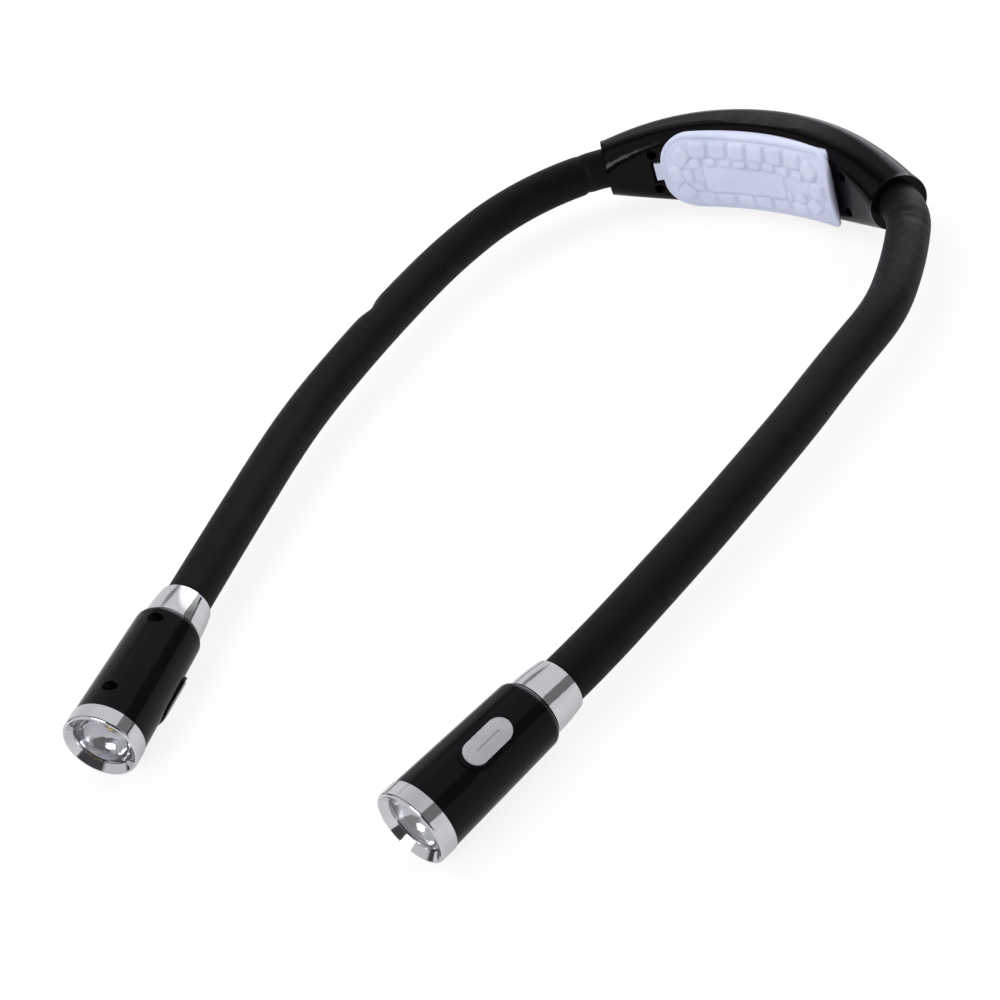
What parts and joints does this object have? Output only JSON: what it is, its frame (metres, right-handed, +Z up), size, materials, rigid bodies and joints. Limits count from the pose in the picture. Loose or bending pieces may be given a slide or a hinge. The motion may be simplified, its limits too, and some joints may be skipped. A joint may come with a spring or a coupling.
{
  "type": "neck reading light",
  "caption": "Hands-free reading light worn round the neck: crescent battery housing with a bumpy neck pad, flexible gooseneck arms and torch heads with push buttons.",
  "frame": {"origin": "middle of the footprint on the table plane, under the space between the arms", "axes": "+Z up as the light lies on a table, the arms and heads reach towards -Y, the crescent housing is at the +Y end, +X is the right arm"},
  "size_m": [0.2076, 0.3694, 0.037],
  "materials": {
    "shell_plastic": "gloss black moulded plastic",
    "screw_steel": "plated steel screw",
    "door_plastic": "white plastic with a lavender tint",
    "pad_plastic": "soft white-lavender plastic, satin",
    "contact_steel": "plated spring steel",
    "cell_case": "plain sleeved cell",
    "sleeve_rubber": "matte black soft sleeve",
    "spine_steel": "steel gooseneck",
    "lead_jacket": "insulated lead",
    "ferrule_brass": "turned brass",
    "trim_chrome": "bright chrome",
    "lens_clear": "clear lens",
    "reflector_mirror": "polished reflector",
    "board_white": "white circuit board",
    "led_yellow": "light source",
    "board_green": "green circuit board",
    "button_grey": "satin grey plastic"
  },
  "bodies": {
    "housing": {"housing_front_shell": "shell_plastic", "housing_back_shell": "shell_plastic", "housing_screws": "screw_steel", "battery_contacts": "contact_steel", "battery_springs": "contact_steel", "battery_top": "cell_case", "battery_middle": "cell_case", "battery_bottom": "cell_case", "left_arm_anchor": "ferrule_brass", "left_sleeve_root": "sleeve_rubber", "left_sleeve_bend_1": "sleeve_rubber", "left_gooseneck_spine": "spine_steel", "left_leads": "lead_jacket", "right_arm_anchor": "ferrule_brass", "right_sleeve_root": "sleeve_rubber", "right_sleeve_bend_1": "sleeve_rubber", "right_gooseneck_spine": "spine_steel", "right_leads": "lead_jacket"},
    "battery_door": {"battery_door": "door_plastic", "neck_pad": "pad_plastic"},
    "left_arm_upper": {"left_sleeve_link_1": "sleeve_rubber", "left_sleeve_bend_2": "sleeve_rubber"},
    "left_arm_middle": {"left_sleeve_link_2": "sleeve_rubber", "left_sleeve_bend_3": "sleeve_rubber"},
    "left_arm_wrist": {"left_sleeve_link_3": "sleeve_rubber", "left_sleeve_bend_4": "sleeve_rubber"},
    "left_head": {"left_sleeve_tip": "sleeve_rubber", "left_head_top_shell": "shell_plastic", "left_head_bottom_shell": "shell_plastic", "left_head_screws": "screw_steel", "left_head_collar": "trim_chrome", "left_head_bezel": "trim_chrome", "left_head_lens": "lens_clear", "left_head_reflector": "reflector_mirror", "left_head_led_board": "board_white", "left_head_led": "led_yellow", "left_head_switch_board": "board_green"},
    "left_button": {"left_head_button": "button_grey"},
    "right_arm_upper": {"right_sleeve_link_1": "sleeve_rubber", "right_sleeve_bend_2": "sleeve_rubber"},
    "right_arm_middle": {"right_sleeve_link_2": "sleeve_rubber", "right_sleeve_bend_3": "sleeve_rubber"},
    "right_arm_wrist": {"right_sleeve_link_3": "sleeve_rubber", "right_sleeve_bend_4": "sleeve_rubber"},
    "right_head": {"right_sleeve_tip": "sleeve_rubber", "right_head_top_shell": "shell_plastic", "right_head_bottom_shell": "shell_plastic", "right_head_screws": "screw_steel", "right_head_collar": "trim_chrome", "right_head_bezel": "trim_chrome", "right_head_lens": "lens_clear", "right_head_reflector": "reflector_mirror", "right_head_led_board": "board_white", "right_head_led": "led_yellow", "right_head_switch_board": "board_green"},
    "right_button": {"right_head_button": "button_grey"}
  },
  "joints": [
    {"name": "left_arm_spread", "type": "hinge", "parent": "housing", "child": "left_arm_upper", "pos_m": [-0.08917, 0.12001, 0.01795], "axis": [0, -0.0164, 0.9999], "range_deg": [-25, 10], "deforming": ["left_sleeve_bend_1", "left_gooseneck_spine", "left_leads"]},
    {"name": "left_arm_lift", "type": "hinge", "parent": "left_arm_upper", "child": "left_arm_middle", "pos_m": [-0.09506, 0.05095, 0.01682], "axis": [-0.9986, -0.0532, -0.0009], "range_deg": [-25, 45], "deforming": ["left_sleeve_bend_2", "left_gooseneck_spine", "left_leads"]},
    {"name": "left_aim_yaw", "type": "hinge", "parent": "left_arm_middle", "child": "left_arm_wrist", "pos_m": [-0.08719, -0.01835, 0.01568], "axis": [0, -0.0164, 0.9999], "range_deg": [-40, 25], "deforming": ["left_sleeve_bend_3", "left_gooseneck_spine", "left_leads"]},
    {"name": "left_aim_pitch", "type": "hinge", "parent": "left_arm_wrist", "child": "left_head", "pos_m": [-0.07335, -0.07052, 0.01482], "axis": [-0.9593, -0.2823, -0.0046], "range_deg": [-45, 45], "deforming": ["left_sleeve_bend_4", "left_gooseneck_spine", "left_leads"]},
    {"name": "left_button_press", "type": "slide", "parent": "left_head", "child": "left_button", "axis": [-0.5208, -0.173, 0.8359], "range_m": [0, 0.0006], "stiffness_N_per_m": 1500, "springref_m": -0.0006},
    {"name": "right_arm_spread", "type": "hinge", "parent": "housing", "child": "right_arm_upper", "pos_m": [0.08598, 0.12083, 0.01795], "axis": [0, -0.0169, 0.9999], "range_deg": [-10, 25], "deforming": ["right_sleeve_bend_1", "right_gooseneck_spine", "right_leads"]},
    {"name": "right_arm_lift", "type": "hinge", "parent": "right_arm_upper", "child": "right_arm_middle", "pos_m": [0.09497, 0.05933, 0.01691], "axis": [-0.9999, -0.0131, -0.0002], "range_deg": [-25, 45], "deforming": ["right_sleeve_bend_2", "right_gooseneck_spine", "right_leads"]},
    {"name": "right_aim_yaw", "type": "hinge", "parent": "right_arm_middle", "child": "right_arm_wrist", "pos_m": [0.09552, -0.00335, 0.01585], "axis": [0, -0.0169, 0.9999], "range_deg": [-25, 40], "deforming": ["right_sleeve_bend_3", "right_gooseneck_spine", "right_leads"]},
    {"name": "right_aim_pitch", "type": "hinge", "parent": "right_arm_wrist", "child": "right_head", "pos_m": [0.09379, -0.05631, 0.01495], "axis": [-0.9987, 0.0506, 0.0009], "range_deg": [-45, 45], "deforming": ["right_sleeve_bend_4", "right_gooseneck_spine", "right_leads"]},
    {"name": "right_button_press", "type": "slide", "parent": "right_head", "child": "right_button", "axis": [-0.5256, 0.0821, -0.8468], "range_m": [0, 0.0006], "stiffness_N_per_m": 1500, "springref_m": -0.0006},
    {"name": "battery_door_hinge", "type": "hinge", "parent": "housing", "child": "battery_door", "pos_m": [0.03903, 0.15518, 0.0195], "axis": [0, 0, 1], "range_deg": [0, 30]}
  ]
}
